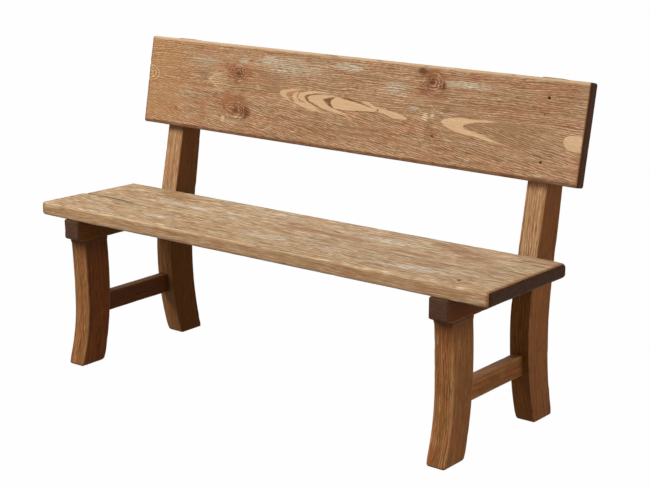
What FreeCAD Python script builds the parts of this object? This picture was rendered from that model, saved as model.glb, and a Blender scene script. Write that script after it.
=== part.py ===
import FreeCAD, Part
import math
import os

# Wooden bench with a raked back, in millimetres.
# Two planks, edge to edge, make the seat. They lie on two side frames, and each frame is a sabre
# front leg, a rear post that runs up past the seat, a seat rail and a stretcher. One wide board is
# screwed to the front of the posts.
# Left and right are as seen from the front: X runs to the right, Y to the rear and Z up.
# The pieces are laid out from the seat's front edge, and moved to the middle of the footprint at the end.

# Seat
seat_length = 1509.0
seat_depth = 342.0
seat_height = 467.0
seat_thickness = 39.0
front_board_width = 156.0
seam_drift = 12.0
seam_gap = 0.3
rear_board_step = 9.0
left_end_slant = 3.5
right_end_slant = 0.9
seat_edge_round = 8.0
seat_corner_round = 9.0
seam_edge_round = 1.5

# Side frames, from the seat's ends to their middles
left_frame_set_in = 122.0
right_frame_set_in = 141.0
front_leg_width = 58.0
front_leg_offset = -3.0
post_width = 61.0
leg_edge_round = 4.0

# Front leg, seen from the side
front_leg_set_back = 24.5
front_leg_depth = 89.0
front_leg_hollow = 7.0
front_leg_hollow_height = 185.0
front_leg_belly = 6.5
front_leg_belly_height = 240.0
front_toe_flare = 34.0
front_heel_flare = 32.0

# Rear post, seen from the side
back_rake = 11.8
back_gap = 58.0
post_depth = 89.5
post_rear_rake = 8.6
post_front_bend_height = 268.0
post_front_bend_radius = 480.0
post_rear_bend_height = 245.0
post_rear_bend_radius = 850.0
rear_toe_flare = 42.0
rear_heel_flare = 33.0
post_top_proud = 2.5

# Seat rail, flush with the front leg on both sides. Its underside rises towards the nose.
rail_width = front_leg_width
rail_offset = front_leg_offset
rail_height = 62.0
rail_set_back = 1.0
rail_nose_rise = 6.5
rail_nose_round = 6.0
rail_edge_round = 1.5
rail_tenon_width = 20.0
rail_tenon_shoulder = 10.0
rail_tenon_length = 45.0

# Tenon on top of the front leg
leg_tenon_width = 20.0
leg_tenon_shoulder = 16.0
rail_above_leg_tenon = 22.0

# Stretcher
stretcher_width = 30.0
stretcher_height = 56.0
stretcher_bottom = 137.0
stretcher_offset = -5.0
stretcher_edge_round = 3.0
stretcher_tenon_width = 12.0
stretcher_tenon_shoulder = 9.0
stretcher_tenon_length = 35.0
stretcher_fit = 0.1

# Back board, with its overhang from the middle of each post
back_board_overhang_left = 107.5
back_board_overhang_right = 131.5
back_board_height_left = 257.0
back_board_height_right = 262.0
back_board_left_end_slant = 0.8
back_board_thickness = 32.0
back_board_top_above_seat = 422.0
back_board_edge_round = 6.0
back_board_corner_round = 7.0

# Screws through the back board
back_screw_from_edge = 50.0
back_screw_from_post_middle = 17.0
back_screw_recess = 3.0
back_screw_bite = 42.0
back_screw_radius = 2.2
back_screw_head_radius = 3.4
back_screw_head_height = 2.8

# Screws up through the rails into the seat
seat_screw_from_seam = 24.0
seat_screw_from_rear = 42.0
seat_screw_row_step = 95.0
seat_screw_grip = 35.0
seat_screw_cover = 13.0
seat_screw_radius = 2.5
seat_screw_head_radius = 4.5
seat_screw_head_height = 3.4

# Screw slots, points and the play round every screw
slot_width = 1.1
slot_depth = 1.3
screw_point_radius = 0.5
screw_play = 0.2

# Dowels across the seat's seam
dowel_radius = 5.0
dowel_length = 60.0
dowel_count = 6
dowel_from_end = 254.5
dowel_play = 0.15

# Play round the tenons, and the space left past their ends
tenon_play = 0.2
mortise_end_gap = 1.5

# How far a cutter runs past the face that it opens, and how near counts as touching
cutter_overrun = 1.0
touching = 0.01

# Heights and places that follow from the sizes above
seat_underside = seat_height - seat_thickness
rail_underside = seat_underside - rail_height
frame_places = {
    "left": left_frame_set_in - seat_length / 2,
    "right": seat_length / 2 - right_frame_set_in,
}
back_board_left = frame_places["left"] - back_board_overhang_left
back_board_right = frame_places["right"] + back_board_overhang_right


def point(x, y, z):
    return FreeCAD.Vector(x, y, z)


def block(low, high):
    """A box between two corners."""
    size = high - low
    return Part.makeBox(size.x, size.y, size.z, low)


def grown(low, high, play):
    """A box between two corners, grown by the play on every side."""
    margin = point(play, play, play)
    return block(low - margin, high + margin)


def rounded(shape, radius, wanted):
    """The shape with a fillet on each edge that the test picks."""
    return shape.makeFillet(radius, [edge for edge in shape.Edges if wanted(edge)])


def middle(edge):
    return edge.valueAt((edge.FirstParameter + edge.LastParameter) / 2)


def runs_along(edge, axis):
    """Whether an edge is straight and runs mostly along the axis, 0 for X, 1 for Y or 2 for Z."""
    span = edge.lastVertex().Point - edge.firstVertex().Point
    return edge.Curve.TypeId == "Part::GeomLine" and abs(span[axis]) > span.Length / 2


def arc_offset(radius, rise):
    """How far an arc leaves its tangent after the rise."""
    return radius - math.sqrt(radius ** 2 - rise ** 2)


def arc_radius(offset, rise):
    """The radius of the arc that leaves its tangent by the offset after the rise."""
    return (rise ** 2 + offset ** 2) / (2 * offset)


class BentEdge:
    """One edge of a leg seen from the side.

    It is upright at its waist. Below, an arc carries the foot away. Above, a second arc leans over
    to an angle, and a straight stretch follows. way is -1 where both ends lie to the front of the
    waist and 1 where they lie to the rear.
    """

    def __init__(self, waist_y, waist_z, foot_flare, bend_radius, lean, way):
        self.waist_y = waist_y
        self.waist_z = waist_z
        self.foot_radius = arc_radius(foot_flare, waist_z)
        self.bend_radius = bend_radius
        self.bend_rise = bend_radius * math.sin(lean)
        self.lean = lean
        self.way = way

    def y(self, z):
        if z < self.waist_z:
            return self.waist_y + self.way * arc_offset(self.foot_radius, self.waist_z - z)
        rise = z - self.waist_z
        bent = min(rise, self.bend_rise)
        away = arc_offset(self.bend_radius, bent) + (rise - bent) * math.tan(self.lean)
        return self.waist_y + self.way * away

    def at(self, z, shift=0.0):
        return point(0, self.y(z) + shift, z)

    def arc(self, low, high, shift=0.0):
        heights = [low, (low + high) / 2, high]
        return Part.Arc(*[self.at(z, shift) for z in heights]).toShape()

    def edges(self, top):
        """The edge from the floor to the top, as arcs and a line."""
        bend_top = self.waist_z + self.bend_rise
        found = [self.arc(0, self.waist_z), self.arc(self.waist_z, bend_top)]
        if top - bend_top > touching:
            found.append(Part.makeLine(self.at(bend_top), self.at(top)))
        return found


def waisted_edge(top_y, top_z, waist_depth, waist_z, foot_flare):
    """A front leg's edge: its upper arc ends at the leg's top, which lies to the front of the waist."""
    radius = arc_radius(waist_depth, top_z - waist_z)
    lean = math.asin((top_z - waist_z) / radius)
    return BentEdge(top_y + waist_depth, waist_z, foot_flare, radius, lean, -1)


def raked_edge(y_at_seat, rake, bend_z, bend_radius, foot_flare):
    """A post's edge: it leans back at the rake, through the given place at the seat's height."""
    lean = math.radians(rake)
    corner_z = bend_z + bend_radius * math.tan(lean / 2)
    waist_y = y_at_seat - (seat_height - corner_z) * math.tan(lean)
    return BentEdge(waist_y, bend_z, foot_flare, bend_radius, lean, 1)


leg_front = waisted_edge(
    front_leg_set_back, rail_underside, front_leg_hollow, front_leg_hollow_height, front_toe_flare
)
leg_rear = waisted_edge(
    front_leg_set_back + front_leg_depth,
    rail_underside,
    front_leg_belly,
    front_leg_belly_height,
    front_heel_flare,
)
post_face_at_seat = seat_depth + back_gap
post_front = raked_edge(
    post_face_at_seat, back_rake, post_front_bend_height, post_front_bend_radius, rear_toe_flare
)
post_rear = raked_edge(
    post_face_at_seat + post_depth,
    post_rear_rake,
    post_rear_bend_height,
    post_rear_bend_radius,
    rear_heel_flare,
)

rake = math.radians(back_rake)
board_top = seat_height + back_board_top_above_seat
board_crest = point(0, post_front.y(board_top), board_top)


def laid_back(shape):
    """Leans a shape from the board's own upright place, below its crest, onto the front of the posts."""
    leaning = shape.copy()
    leaning.rotate(point(0, 0, 0), point(1, 0, 0), -back_rake)
    leaning.translate(board_crest)
    return leaning


def from_side_view(edges, x, width):
    """A solid of the given width about x, from edges drawn in the side view."""
    face = Part.Face(Part.Wire(Part.__sortEdges__(edges)))
    face.translate(point(x - width / 2, 0, 0))
    return face.extrude(point(width, 0, 0))


def seam_at(x):
    """The seam's distance from the seat's front edge."""
    return front_board_width - seam_drift * (x / seat_length + 0.5)


def left_end_at(y, step):
    return step - seat_length / 2 + y * math.tan(math.radians(left_end_slant))


def right_end_at(y):
    return seat_length / 2 + y * math.tan(math.radians(right_end_slant))


def plank(corners):
    """A seat plank from its corners in plan, at the seat's height."""
    ring = [point(x, y, seat_underside) for x, y in corners]
    return Part.Face(Part.makePolygon(ring + ring[:1])).extrude(point(0, 0, seat_thickness))


def eased_plank(corners, outer_y, seam_y):
    """A plank with round outer corners and edges, and a slight round along the seam."""
    outer_side = (outer_y + seam_y) / 2

    def outer(place):
        return (place.y < outer_side) == (outer_y < seam_y)

    board = plank(corners)
    board = rounded(board, seat_corner_round, lambda e: runs_along(e, 2) and outer(middle(e)))

    def on_faces(edge):
        place = middle(edge)
        flat = abs(place.z - seat_underside) < touching or abs(place.z - seat_height) < touching
        return flat and not (runs_along(edge, 0) and not outer(place))

    board = rounded(board, seat_edge_round, on_faces)

    def along_seam(edge):
        place = middle(edge)
        return runs_along(edge, 0) and not outer(place) and abs(place.z - seat_height) < touching

    return rounded(board, seam_edge_round, along_seam)


def dowel_places():
    """Where the dowels cross the seam: x, and the seam's y there."""
    reach = seat_length - 2 * dowel_from_end
    xs = [reach * (n / (dowel_count - 1) - 0.5) for n in range(dowel_count)]
    return [(x, seam_at(x)) for x in xs]


def dowel(x, y, play, end_gap):
    length = dowel_length + 2 * end_gap
    start = point(x, y - length / 2, seat_underside + seat_thickness / 2)
    return Part.makeCylinder(dowel_radius + play, length, start, point(0, 1, 0))


def screw(head_radius, head_height, radius, length):
    """A slotted screw that points along Z, with the head's underside at the origin."""
    head = Part.makeCylinder(head_radius, head_height, point(0, 0, -head_height))
    shank = Part.makeCylinder(radius, length - radius, point(0, 0, 0))
    tip = Part.makeCone(radius, screw_point_radius, radius, point(0, 0, length - radius))
    slot = block(
        point(-head_radius, -slot_width / 2, -head_height),
        point(head_radius, slot_width / 2, slot_depth - head_height),
    )
    return head.fuse(shank).fuse(tip).removeSplitter().cut(slot)


def screw_hole(head_radius, radius, length, head_room):
    """The hole for a screw: a wide mouth down to the head's seat, then a narrow way for the shank."""
    mouth = Part.makeCylinder(head_radius + screw_play, head_room, point(0, 0, -head_room))
    way = Part.makeCylinder(radius + screw_play, length + mortise_end_gap)
    return mouth.fuse(way)


def board_bottom_at(x):
    """The back board's bottom edge, below its crest: the board is a little deeper at its right end."""
    share = (x - back_board_left) / (back_board_right - back_board_left)
    return -back_board_height_left - share * (back_board_height_right - back_board_height_left)


def back_screw_places():
    """Each screw through the back board: x, and height below the board's crest."""
    places = []
    for post_x in frame_places.values():
        x = post_x + back_screw_from_post_middle
        places += [(x, board_bottom_at(x) + back_screw_from_edge), (x, -back_screw_from_edge)]
    return places


back_screw_seat = back_screw_recess + back_screw_head_height - back_board_thickness
back_screw_length = back_screw_bite - back_screw_seat


def in_back_board(tool, x, z):
    """Points a screw or its hole rearward, through the board at the given place."""
    placed = tool.copy()
    placed.rotate(point(0, 0, 0), point(1, 0, 0), -90)
    placed.translate(point(x, back_screw_seat, z))
    return laid_back(placed)


def back_screw_holes():
    hole = screw_hole(
        back_screw_head_radius,
        back_screw_radius,
        back_screw_length,
        back_screw_head_height + back_screw_recess + cutter_overrun,
    )
    return [in_back_board(hole, x, z) for x, z in back_screw_places()]


def seat_screw_places():
    """Each screw through a rail: x and y."""
    places = []
    for frame_x in frame_places.values():
        x = frame_x + rail_offset
        rear = seat_depth - seat_screw_from_rear
        rows = [seam_at(x) - seat_screw_from_seam, rear - seat_screw_row_step, rear]
        places += [(x, y) for y in rows]
    return places


seat_screw_length = seat_screw_grip + seat_thickness - seat_screw_cover


def in_rail(tool, x, y):
    """Stands a screw or its hole in a rail, with the head's seat below the seat by the grip."""
    placed = tool.copy()
    placed.translate(point(x, y, seat_underside - seat_screw_grip))
    return placed


def seat_screw_holes():
    head_room = rail_height - seat_screw_grip + cutter_overrun
    hole = screw_hole(seat_screw_head_radius, seat_screw_radius, seat_screw_length, head_room)
    return [in_rail(hole, x, y) for x, y in seat_screw_places()]


def leg_tenon_box(x):
    """The corners of the tenon on top of a front leg."""
    front = front_leg_set_back + leg_tenon_shoulder
    rear = front_leg_set_back + front_leg_depth - leg_tenon_shoulder
    top = seat_underside - rail_above_leg_tenon
    half = leg_tenon_width / 2
    centre = x + front_leg_offset
    return point(centre - half, front, rail_underside), point(centre + half, rear, top)


def rail_tenon_box(x):
    """The corners of a rail's tenon, from its root inside the rail to its end in the post."""
    shoulder = post_front.y(rail_underside)
    half = rail_tenon_width / 2
    centre = x + rail_offset
    return (
        point(centre - half, shoulder - rail_tenon_shoulder, rail_underside + rail_tenon_shoulder),
        point(centre + half, shoulder + rail_tenon_length, seat_underside - rail_tenon_shoulder),
    )


def stretcher_tenon_box(x):
    """The corners of a stretcher's core, from the end of one tenon to the end of the other."""
    half = stretcher_tenon_width / 2
    centre = x + stretcher_offset
    bottom = stretcher_bottom + stretcher_tenon_shoulder
    top = stretcher_bottom + stretcher_height - stretcher_tenon_shoulder
    return (
        point(centre - half, leg_rear.y(bottom) - stretcher_tenon_length, bottom),
        point(centre + half, post_front.y(bottom) + stretcher_tenon_length, top),
    )


def tenon_hole(box, gap_low, gap_high):
    """A mortise round a tenon, with its end gap on the sides that are named."""
    low, high = box
    return grown(low - gap_low, high + gap_high, tenon_play)


def end_gap_along(axis):
    return axis * (mortise_end_gap - tenon_play)


def no_gap():
    return point(0, 0, 0)


def stretcher_mortise(x):
    gap = end_gap_along(point(0, 1, 0))
    return tenon_hole(stretcher_tenon_box(x), gap, gap)


def front_leg(x):
    top = rail_underside
    edges = leg_front.edges(top) + leg_rear.edges(top)
    edges.append(Part.makeLine(leg_front.at(top), leg_rear.at(top)))
    edges.append(Part.makeLine(leg_front.at(0), leg_rear.at(0)))
    leg = from_side_view(edges, x + front_leg_offset, front_leg_width)
    leg = rounded(leg, leg_edge_round, lambda e: middle(e).z < top - touching and not across_top(e, top))
    return leg.fuse(block(*leg_tenon_box(x))).removeSplitter().cut(stretcher_mortise(x))


def across_top(edge, top):
    """Whether an edge lies wholly in the leg's top."""
    return all(abs(v.Point.z - top) < touching for v in edge.Vertexes)


def post_top_corners():
    """The post's front and rear top corners, on a line square to the board."""
    front_corner = board_crest + point(0, math.sin(rake), math.cos(rake)) * post_top_proud
    slope = math.tan(rake)
    rear_lean = math.tan(post_rear.lean)
    reach = post_rear.y(front_corner.z) - front_corner.y
    drop = reach * slope / (1 + slope * rear_lean)
    return front_corner, post_rear.at(front_corner.z - drop)


def rear_post(x):
    front_corner, rear_corner = post_top_corners()
    edges = post_front.edges(front_corner.z) + post_rear.edges(rear_corner.z)
    edges.append(Part.makeLine(front_corner, rear_corner))
    edges.append(Part.makeLine(post_front.at(0), post_rear.at(0)))
    post = from_side_view(edges, x, post_width)
    post = rounded(post, leg_edge_round, lambda e: True)
    rail_mortise = tenon_hole(rail_tenon_box(x), no_gap(), end_gap_along(point(0, 1, 0)))
    return post.cut([rail_mortise, stretcher_mortise(x)] + back_screw_holes())


def seat_rail(x):
    beyond_post = post_rear.y(seat_underside)
    outline = [
        (rail_set_back, rail_underside + rail_nose_rise),
        (rail_set_back, seat_underside),
        (beyond_post, seat_underside),
        (beyond_post, rail_underside),
        (front_leg_set_back, rail_underside),
    ]
    ring = [point(0, y, z) for y, z in outline]
    bar = from_side_view(Part.makePolygon(ring + ring[:1]).Edges, x + rail_offset, rail_width)
    bar = rounded(bar, rail_nose_round, lambda e: middle(e).y < rail_set_back + touching)
    bar = rounded(bar, rail_edge_round, is_long_lower_edge)
    foot = post_front.at(rail_underside)
    head = post_front.at(seat_underside)
    slope = head - foot
    past_rail = [foot - slope, head + slope, point(0, beyond_post + rail_width, head.z + slope.z)]
    past_rail.append(point(0, beyond_post + rail_width, foot.z - slope.z))
    behind_shoulder = Part.Face(Part.makePolygon(past_rail + past_rail[:1]))
    behind_shoulder.translate(point(x - rail_width, 0, 0))
    rail = bar.cut(behind_shoulder.extrude(point(2 * rail_width, 0, 0)))
    rail = rail.fuse(block(*rail_tenon_box(x))).removeSplitter()
    leg_mortise = tenon_hole(leg_tenon_box(x), no_gap(), end_gap_along(point(0, 0, 1)))
    return rail.cut([leg_mortise] + seat_screw_holes())


def is_long_lower_edge(edge):
    """Whether an edge runs along a rail's underside, behind its nose."""
    place = middle(edge)
    low = abs(place.z - rail_underside) < touching
    return low and place.y > front_leg_set_back + touching and runs_along(edge, 1)


def stretcher(x):
    bottom = stretcher_bottom
    top = stretcher_bottom + stretcher_height
    edges = [
        leg_rear.arc(bottom, top, stretcher_fit),
        post_front.arc(bottom, top, -stretcher_fit),
        Part.makeLine(leg_rear.at(bottom, stretcher_fit), post_front.at(bottom, -stretcher_fit)),
        Part.makeLine(leg_rear.at(top, stretcher_fit), post_front.at(top, -stretcher_fit)),
    ]
    bar = from_side_view(edges, x + stretcher_offset, stretcher_width)
    bar = rounded(bar, stretcher_edge_round, lambda e: runs_along(e, 1))
    return bar.fuse(block(*stretcher_tenon_box(x))).removeSplitter()


def seat_board_front():
    corners = [
        (left_end_at(0, 0), 0),
        (right_end_at(0), 0),
        (right_end_at(seam_at(seat_length / 2)), seam_at(seat_length / 2) - seam_gap / 2),
        (left_end_at(seam_at(-seat_length / 2), 0), seam_at(-seat_length / 2) - seam_gap / 2),
    ]
    board = eased_plank(corners, 0, front_board_width)
    return board.cut(dowel_holes() + seat_screw_holes())


def seat_board_rear():
    corners = [
        (left_end_at(seam_at(-seat_length / 2), rear_board_step), seam_at(-seat_length / 2) + seam_gap / 2),
        (right_end_at(seam_at(seat_length / 2)), seam_at(seat_length / 2) + seam_gap / 2),
        (right_end_at(seat_depth), seat_depth),
        (left_end_at(seat_depth, rear_board_step), seat_depth),
    ]
    board = eased_plank(corners, seat_depth, front_board_width)
    return board.cut(dowel_holes() + seat_screw_holes())


def dowel_holes():
    return [dowel(x, y, dowel_play, mortise_end_gap) for x, y in dowel_places()]


def seat_dowels():
    return Part.makeCompound([dowel(x, y, 0, 0) for x, y in dowel_places()])


def back_board():
    left = back_board_left
    right = back_board_right
    foot_left = left - math.tan(math.radians(back_board_left_end_slant)) * board_bottom_at(left)
    outline = [(foot_left, board_bottom_at(left)), (right, board_bottom_at(right)), (right, 0), (left, 0)]
    ring = [point(x, 0, z) for x, z in outline]
    board = Part.Face(Part.makePolygon(ring + ring[:1])).extrude(point(0, -back_board_thickness, 0))
    board = rounded(board, back_board_corner_round, lambda e: runs_along(e, 1))
    board = rounded(board, back_board_edge_round, lambda e: not runs_along(e, 1))
    return laid_back(board).cut(back_screw_holes())


def back_board_screws():
    one = screw(back_screw_head_radius, back_screw_head_height, back_screw_radius, back_screw_length)
    return Part.makeCompound([in_back_board(one, x, z) for x, z in back_screw_places()])


def seat_screws():
    one = screw(seat_screw_head_radius, seat_screw_head_height, seat_screw_radius, seat_screw_length)
    return Part.makeCompound([in_rail(one, x, y) for x, y in seat_screw_places()])


pieces = {
    "seat_board_front": seat_board_front(),
    "seat_board_rear": seat_board_rear(),
    "seat_dowels": seat_dowels(),
    "seat_screws": seat_screws(),
    "back_board": back_board(),
    "back_board_screws": back_board_screws(),
}
for side, x in frame_places.items():
    pieces["front_leg_" + side] = front_leg(x)
    pieces["rear_post_" + side] = rear_post(x)
    pieces["seat_rail_" + side] = seat_rail(x)
    pieces["stretcher_" + side] = stretcher(x)

# The origin is on the floor, in the middle of the bench's footprint
whole = Part.makeCompound(list(pieces.values())).optimalBoundingBox()
to_middle = point(-(whole.XMin + whole.XMax) / 2, -(whole.YMin + whole.YMax) / 2, 0)

os.makedirs("parts", exist_ok=True)
for name, piece in pieces.items():
    piece.translate(to_middle)
    piece.exportStep("parts/" + name + ".step")
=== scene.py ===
import math
from collections import namedtuple

import bpy
import numpy as np
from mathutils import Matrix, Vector
from mathutils.bvhtree import BVHTree


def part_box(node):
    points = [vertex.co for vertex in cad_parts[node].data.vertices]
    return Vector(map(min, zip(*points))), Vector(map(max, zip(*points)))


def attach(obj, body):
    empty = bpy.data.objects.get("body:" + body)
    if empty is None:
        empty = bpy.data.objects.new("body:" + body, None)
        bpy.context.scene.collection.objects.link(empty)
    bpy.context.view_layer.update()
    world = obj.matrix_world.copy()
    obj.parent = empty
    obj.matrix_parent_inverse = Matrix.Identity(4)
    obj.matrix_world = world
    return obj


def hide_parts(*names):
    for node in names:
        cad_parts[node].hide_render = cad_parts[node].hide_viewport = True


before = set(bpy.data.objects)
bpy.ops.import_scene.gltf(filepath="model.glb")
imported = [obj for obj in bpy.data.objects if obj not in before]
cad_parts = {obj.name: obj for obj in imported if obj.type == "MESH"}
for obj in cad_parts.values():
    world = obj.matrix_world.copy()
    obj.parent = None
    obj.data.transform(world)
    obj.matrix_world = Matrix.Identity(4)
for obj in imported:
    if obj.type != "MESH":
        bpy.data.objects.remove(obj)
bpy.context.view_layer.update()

# Lengths are in metres, in the bench's own frame: X to the right, Y to the rear, Z up.
# The materials work in millimetres: along a piece's grain, across it, and through it.
MM = 0.001

# Camera
CAMERA_PLACE = (2.6197, -3.2632, 1.4938)
CAMERA_AZIMUTH = 38.163
CAMERA_ELEVATION = 14.566
CAMERA_LENS = 88.54
SENSOR_WIDTH = 36.0

# The back board's height at its left end, and in degrees its lean and the slants of the ends
BACK_HEIGHT_LEFT = 257 * MM
BACK_RAKE = 11.8
BACK_LEFT_SLANT = 0.8
SEAT_LEFT_SLANT = 3.5
SEAT_RIGHT_SLANT = 0.9

# Rounding of the edges, and how much it varies with wear
SEAT_EDGE = 8 * MM
SEAM_EDGE = 2.6 * MM
SEAM_END_WEAR = 5 * MM
BACK_EDGE = 6 * MM
LEG_EDGE = 4.5 * MM
FOOT_WEAR = 3 * MM
RAIL_EDGE = 0.9 * MM
RAIL_NOSE_EDGE = 6 * MM
STRETCHER_EDGE = 3.5 * MM
TIGHT_EDGE = 0.3 * MM
LEAST_ROUND = 0.94
ROUND_SPREAD = 0.28

# Depths of the worn surface
WARP = 0.32 * MM
RIPPLE = 0.2 * MM
GROOVE = 0.55 * MM
DENT = 1.5 * MM
KNOT_HOLLOW = 0.6 * MM

# The rise of a rail's underside towards its nose
RAIL_NOSE_RISE = 6.5 * MM

# How far beside a leg's middle its outline is read, clear of the mortises
CLEAR_OF_MORTISES = 24 * MM

# Rays that read a CAD node's outline start this far out
RAY_START = 2.0

# Steps of each grid, along, across and through the piece
SEAT_STEPS = (7 * MM, 1.45 * MM, 1.5 * MM)
BACK_STEPS = (7.6 * MM, 1.9 * MM, 1.8 * MM)
LEG_STEPS = (5.5 * MM, 1.6 * MM, 1.7 * MM)
BAR_STEPS = (6 * MM, 1.6 * MM, 1.8 * MM)

# Screw holes: the back board's sinks, of which one is filled with wax, and the rails' deep holes
BACK_SINK_RADIUS = 3.9 * MM
BACK_SINK_DEPTHS = {
    "left top": 0.5 * MM, "left bottom": 1.9 * MM,
    "right top": 3 * MM, "right bottom": 2.3 * MM,
}
RAIL_HOLE_RADIUS = 4.9 * MM

# How much of a screw's head shows in a rail's hole, and how far apart the points of one head lie
HEAD_SIGHT = 3 * MM
HEAD_REACH = 12 * MM


# Grids and edges


def stations(length, step, fine=1.5 * MM, fine_at=(), reach=9 * MM):
    """Places from 0 to the length, about a step apart, and closer at both ends and at fine_at."""
    places = [0.0]
    while places[-1] < length:
        here = places[-1]
        away = min([here, length - here] + [abs(here - place) for place in fine_at])
        growth = max(away - reach, 0.0) * 0.35
        places.append(here + min(step, fine + growth))
    return np.array(places) * (length / places[-1])


def block_grid(along, across, through):
    """The outside of a block as a grid: its points and its four-sided faces."""
    shape = (len(along), len(across), len(through))
    spots = np.indices(shape)
    last = np.array(shape).reshape(3, 1, 1, 1) - 1
    outside = ((spots == 0) | (spots == last)).any(axis=0)
    number = np.full(shape, -1)
    number[outside] = np.arange(outside.sum())
    i, j, k = (spot[outside] for spot in spots)
    points = np.stack([along[i], across[j], through[k]], axis=1)
    faces = []
    for axis in range(3):
        for end in (0, -1):
            side = number.take(end, axis=axis)
            quads = np.stack([side[:-1, :-1], side[1:, :-1], side[1:, 1:], side[:-1, 1:]], axis=-1)
            quads = quads.reshape(-1, 4)
            flipped = (end == -1) != (axis == 1)
            faces.append(quads[:, ::-1] if flipped else quads)
    return points, np.concatenate(faces)


def rounded(points, size, radius):
    """Rounds a block's edges. Gives the new points and the way out at each."""
    radius = radius.reshape(-1, 1)
    core = np.minimum(np.maximum(points, radius), size - radius)
    out = points - core
    out /= np.linalg.norm(out, axis=1, keepdims=True)
    return core + out * radius, out


def ramp(values, low, high):
    """A smooth step from 0 at low to 1 at high."""
    part = np.clip((values - low) / (high - low), 0, 1)
    return part * part * (3 - 2 * part)


# Steady noise


def lattice_value(cell, seed):
    """A fixed number from 0 to 1 for each whole-number place."""
    n = cell[:, 0] * 374761393 + cell[:, 1] * 668265263 + cell[:, 2] * 69069069 + seed * 1442695041
    n = n & 0xFFFFFFFF
    n = ((n ^ (n >> 13)) * 1274126177) & 0xFFFFFFFF
    return ((n ^ (n >> 16)) & 0xFFFFFF) / 0xFFFFFF


def noise(points, size, seed):
    """Smooth noise from 0 to 1. size is the size of its patches along each axis."""
    spot = points / np.array(size)
    cell = np.floor(spot).astype(np.int64)
    part = spot - cell
    part = part * part * (3 - 2 * part)
    total = np.zeros(len(points))
    for corner in np.ndindex(2, 2, 2):
        share = np.where(np.array(corner) == 1, part, 1 - part).prod(axis=1)
        total += share * lattice_value(cell + np.array(corner), seed)
    return total


# The worn surface

# tight: whether each end meets a neighbour. seam: where, across the piece, another board does.
Shape = namedtuple("Shape", "size radius tight seam wear", defaults=((False, False), None, 1.0))
Knot = namedtuple("Knot", "along across radius")
Hole = namedtuple("Hole", "along across radius depth side")
Crack = namedtuple("Crack", "start end across tilt depth")


def edge_gap(points, size):
    """How far each point on a block's outside is from the nearest edge."""
    gaps = np.minimum(points, size - points)
    return np.sort(gaps, axis=1)[:, 1]


def joint_gap(points, shape):
    """How far each point is from where the piece meets its neighbour."""
    gap = np.full(len(points), 1.0)
    if shape.tight[0]:
        gap = np.minimum(gap, points[:, 0])
    if shape.tight[1]:
        gap = np.minimum(gap, shape.size[0] - points[:, 0])
    if shape.seam is not None:
        gap = np.minimum(gap, np.abs(points[:, 1] - shape.seam))
    return gap


def edge_radius(points, shape, seed):
    """The rounding at each point: uneven with wear, and close to none where a joint is tight."""
    radius = shape.radius(points) if callable(shape.radius) else shape.radius
    radius = radius * (LEAST_ROUND + ROUND_SPREAD * noise(points, (0.09, 0.09, 0.09), seed))
    gap = joint_gap(points, shape)
    least = TIGHT_EDGE
    if shape.seam is not None:
        from_right = shape.size[0] - points[:, 0]
        least = SEAM_EDGE * ramp(from_right, 4 * MM, 40 * MM)
        least = least + SEAM_END_WEAR * ramp(points[:, 0], 30 * MM, 2 * MM)
        least = np.maximum(least, TIGHT_EDGE)
    return least + (radius - least) * ramp(gap, 1 * MM, 14 * MM)


def wood_depth(points, out, shape, seed, knots, holes, cracks):
    """How deep the worn surface lies below the sawn block, in metres."""
    along, across, through = points.T
    kept = across.copy()
    for knot in knots:
        near = ramp(knot_reach(along, across, knot), 3.6, 0.0)
        kept -= 0.6 * (across - knot.across * MM) * near
    fibres = np.stack([along, kept, through], axis=1)
    depth = WARP * noise(points, (0.34, 0.09, 0.09), seed + 1)
    depth += RIPPLE * noise(points, (0.11, 0.035, 0.035), seed + 2)
    grooves = noise(fibres, (0.05, 0.0042, 0.0042), seed + 3) ** 2
    grooves += 0.8 * noise(fibres, (0.022, 0.0028, 0.0028), seed + 4) ** 3
    depth += GROOVE * grooves * (1 - np.abs(out[:, 0]) ** 4)
    dents = ramp(noise(points, (0.03, 0.012, 0.012), seed + 5), 0.70, 1.0)
    depth += DENT * dents * ramp(edge_gap(points, shape.size), 12 * MM, 2 * MM)
    depth *= shape.wear
    for knot in knots:
        reach = knot_reach(along, across, knot)
        depth += KNOT_HOLLOW * ramp(reach, 1.15, 0.5)
    depth *= ramp(joint_gap(points, shape), 0, 12 * MM) if shape.seam is None else 1
    for crack in cracks:
        depth += crack_depth(points, crack, seed)
    for hole in holes:
        depth = np.maximum(depth, hole_depth(points, out, hole))
    return depth


def knot_reach(along, across, knot):
    """Distance from a knot's middle, in knot radii. The knot is in millimetres."""
    away = np.hypot((along - knot.along * MM) / 1.2, across - knot.across * MM)
    return away / (knot.radius * MM)


def crack_depth(points, crack, seed):
    along, across = points.T[:2]
    share = (along - crack.start * MM) / ((crack.end - crack.start) * MM)
    wander = 2.2 * MM * (noise(points, (0.03, 0.2, 0.2), seed + 7) - 0.5)
    middle = crack.across * MM + crack.tilt * (along - crack.start * MM)
    line = np.abs(across - middle - wander)
    inside = ramp(share, 0.0, 0.15) * ramp(share, 1.0, 0.6)
    return crack.depth * MM * inside * ramp(line, 1.9 * MM, 0.3 * MM)


def hole_depth(points, out, hole):
    """The depth of a round hole, which goes in from the side that it names."""
    away = np.hypot(points[:, 0] - hole.along, points[:, 1] - hole.across)
    facing = out[:, 2] * hole.side > 0.99
    return np.where(facing, hole.depth * ramp(away, hole.radius * 1.12, hole.radius * 0.92), 0)


# Pieces


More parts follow.
